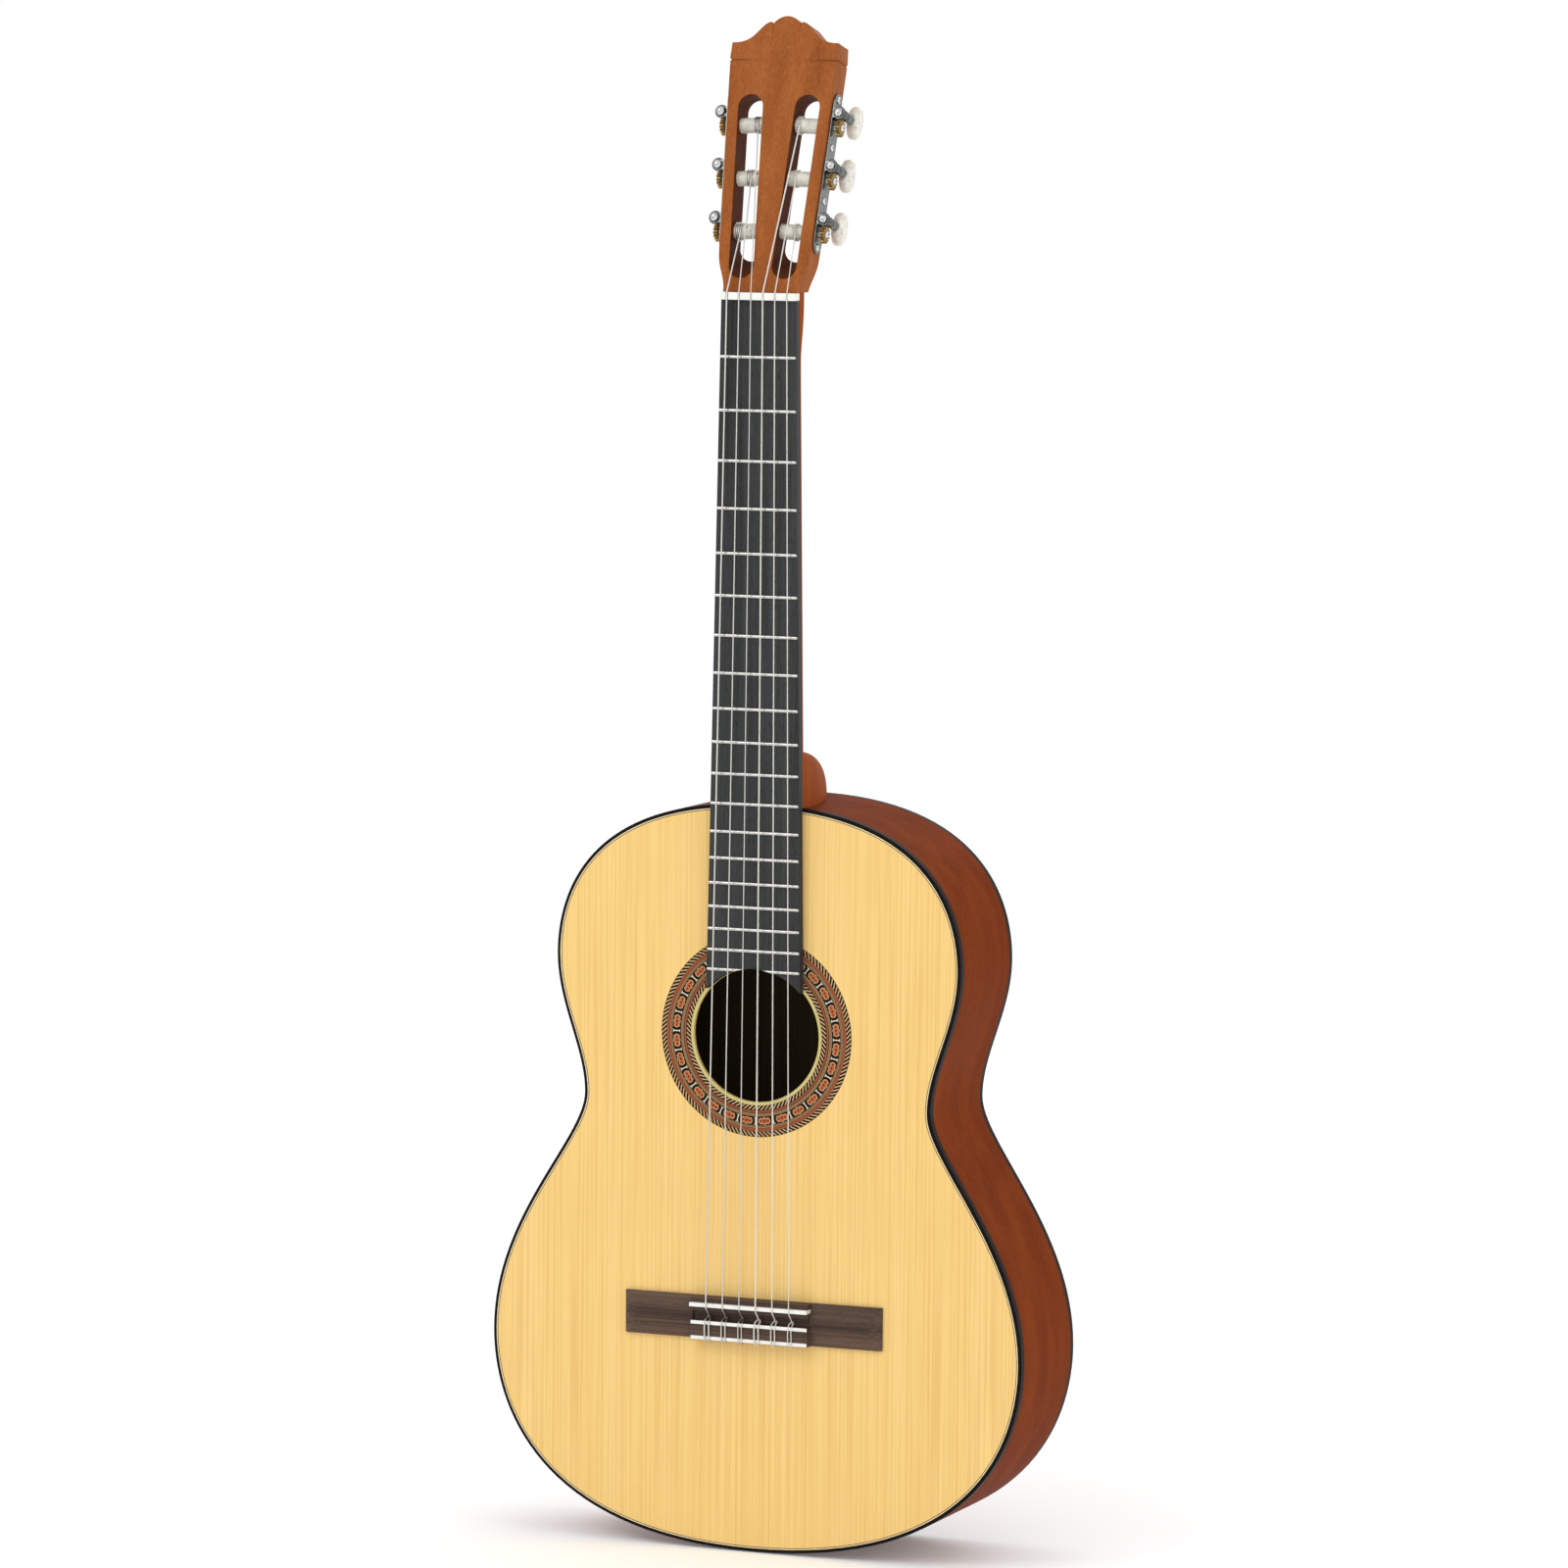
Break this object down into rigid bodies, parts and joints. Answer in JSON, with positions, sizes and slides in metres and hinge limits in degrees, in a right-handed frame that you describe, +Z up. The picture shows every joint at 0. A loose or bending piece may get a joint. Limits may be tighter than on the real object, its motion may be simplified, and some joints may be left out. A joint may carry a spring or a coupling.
{
  "type": "classical guitar",
  "caption": "Classical guitar: hollow waisted spruce-top body, fretted neck, slotted head with geared tuners, tied nylon strings over a rosette sound hole.",
  "frame": {"origin": "centre of the bounding box in X and Y, at the tail end of the body", "axes": "+Z up the neck from the tail to the crown of the head, +Y towards the back, so the soundboard and strings face -Y; +X is the treble side, on the right of someone who faces the strings"},
  "size_m": [0.3712, 0.1126, 0.9966],
  "materials": {
    "spruce_top": "satin-gloss varnish over pale yellow spruce",
    "nato_body": "satin-gloss red-brown varnish",
    "nato_neck": "satin red-brown varnish",
    "head_veneer": "satin red-brown varnish",
    "inner_spruce": "bare sanded wood",
    "fingerboard_rosewood": "oiled, open-grained",
    "bridge_rosewood": "oiled, open-grained",
    "binding": "glossy black",
    "rosette_inlay": "satin-gloss varnish over inlaid veneers",
    "nut_plastic": "polished white",
    "roller_plastic": "polished white",
    "pearloid": "pearly",
    "dark_nickel": "nickel plate, slightly dark",
    "gear_brass": "bright brass",
    "wound_string": "silver-plated round winding",
    "nylon": "clear nylon"
  },
  "bodies": {
    "guitar": {"soundboard": "spruce_top", "rosette": "rosette_inlay", "back": "nato_body", "treble_side": "nato_body", "bass_side": "nato_body", "front_binding": "binding", "back_binding": "binding", "front_lining": "inner_spruce", "back_lining": "inner_spruce", "neck_block": "inner_spruce", "tail_block": "inner_spruce", "upper_transverse_brace": "inner_spruce", "lower_transverse_brace": "inner_spruce", "fan_brace_1": "inner_spruce", "fan_brace_2": "inner_spruce", "fan_brace_3": "inner_spruce", "fan_brace_4": "inner_spruce", "fan_brace_5": "inner_spruce", "upper_back_brace": "inner_spruce", "middle_back_brace": "inner_spruce", "lower_back_brace": "inner_spruce", "neck": "nato_neck", "fretted_fingerboard": "fingerboard_rosewood", "nut": "nut_plastic", "bridge": "bridge_rosewood", "saddle": "nut_plastic", "headstock": "head_veneer", "treble_tuner_plate": "dark_nickel", "bass_tuner_plate": "dark_nickel", "string_1": "nylon", "string_2": "nylon", "string_3": "nylon", "string_4": "wound_string", "string_5": "wound_string", "string_6": "wound_string"},
    "button_shaft_1": {"worm_1": "dark_nickel", "button_1": "pearloid"},
    "string_roller_1": {"roller_1": "roller_plastic", "gear_1": "gear_brass"},
    "button_shaft_2": {"worm_2": "dark_nickel", "button_2": "pearloid"},
    "string_roller_2": {"roller_2": "roller_plastic", "gear_2": "gear_brass"},
    "button_shaft_3": {"worm_3": "dark_nickel", "button_3": "pearloid"},
    "string_roller_3": {"roller_3": "roller_plastic", "gear_3": "gear_brass"},
    "button_shaft_4": {"worm_4": "dark_nickel", "button_4": "pearloid"},
    "string_roller_4": {"roller_4": "roller_plastic", "gear_4": "gear_brass"},
    "button_shaft_5": {"worm_5": "dark_nickel", "button_5": "pearloid"},
    "string_roller_5": {"roller_5": "roller_plastic", "gear_5": "gear_brass"},
    "button_shaft_6": {"worm_6": "dark_nickel", "button_6": "pearloid"},
    "string_roller_6": {"roller_6": "roller_plastic", "gear_6": "gear_brass"}
  },
  "joints": [
    {"name": "button_1_turn", "type": "hinge", "parent": "guitar", "child": "button_shaft_1", "pos_m": [0.03754, -0.02704, 0.8657], "axis": [0, 0.9703, -0.2419], "continuous": true},
    {"name": "roller_1_turn", "type": "hinge", "parent": "guitar", "child": "string_roller_1", "pos_m": [0.03205, -0.02906, 0.85759], "axis": [0.9989, -0.0112, -0.0448], "continuous": true},
    {"name": "button_2_turn", "type": "hinge", "parent": "guitar", "child": "button_shaft_2", "pos_m": [0.03916, -0.01858, 0.89962], "axis": [0, 0.9703, -0.2419], "continuous": true},
    {"name": "roller_2_turn", "type": "hinge", "parent": "guitar", "child": "string_roller_2", "pos_m": [0.03366, -0.0206, 0.89151], "axis": [0.9989, -0.0112, -0.0448], "continuous": true},
    {"name": "button_3_turn", "type": "hinge", "parent": "guitar", "child": "button_shaft_3", "pos_m": [0.04077, -0.01012, 0.93355], "axis": [0, 0.9703, -0.2419], "continuous": true},
    {"name": "roller_3_turn", "type": "hinge", "parent": "guitar", "child": "string_roller_3", "pos_m": [0.03528, -0.01214, 0.92544], "axis": [0.9989, -0.0112, -0.0448], "continuous": true},
    {"name": "button_4_turn", "type": "hinge", "parent": "guitar", "child": "button_shaft_4", "pos_m": [-0.04077, -0.01012, 0.93355], "axis": [0, 0.9703, -0.2419], "continuous": true},
    {"name": "roller_4_turn", "type": "hinge", "parent": "guitar", "child": "string_roller_4", "pos_m": [-0.03528, -0.01214, 0.92544], "axis": [0.9989, 0.0112, 0.0448], "continuous": true},
    {"name": "button_5_turn", "type": "hinge", "parent": "guitar", "child": "button_shaft_5", "pos_m": [-0.03916, -0.01858, 0.89962], "axis": [0, 0.9703, -0.2419], "continuous": true},
    {"name": "roller_5_turn", "type": "hinge", "parent": "guitar", "child": "string_roller_5", "pos_m": [-0.03366, -0.0206, 0.89151], "axis": [0.9989, 0.0112, 0.0448], "continuous": true},
    {"name": "button_6_turn", "type": "hinge", "parent": "guitar", "child": "button_shaft_6", "pos_m": [-0.03754, -0.02704, 0.8657], "axis": [0, 0.9703, -0.2419], "continuous": true},
    {"name": "roller_6_turn", "type": "hinge", "parent": "guitar", "child": "string_roller_6", "pos_m": [-0.03205, -0.02906, 0.85759], "axis": [0.9989, 0.0112, 0.0448], "continuous": true}
  ],
  "couplings": [
    {"joint": "roller_1_turn", "follows": "button_1_turn", "ratio": 0.071429},
    {"joint": "roller_2_turn", "follows": "button_2_turn", "ratio": 0.071429},
    {"joint": "roller_3_turn", "follows": "button_3_turn", "ratio": 0.071429},
    {"joint": "roller_4_turn", "follows": "button_4_turn", "ratio": 0.071429},
    {"joint": "roller_5_turn", "follows": "button_5_turn", "ratio": 0.071429},
    {"joint": "roller_6_turn", "follows": "button_6_turn", "ratio": 0.071429}
  ]
}
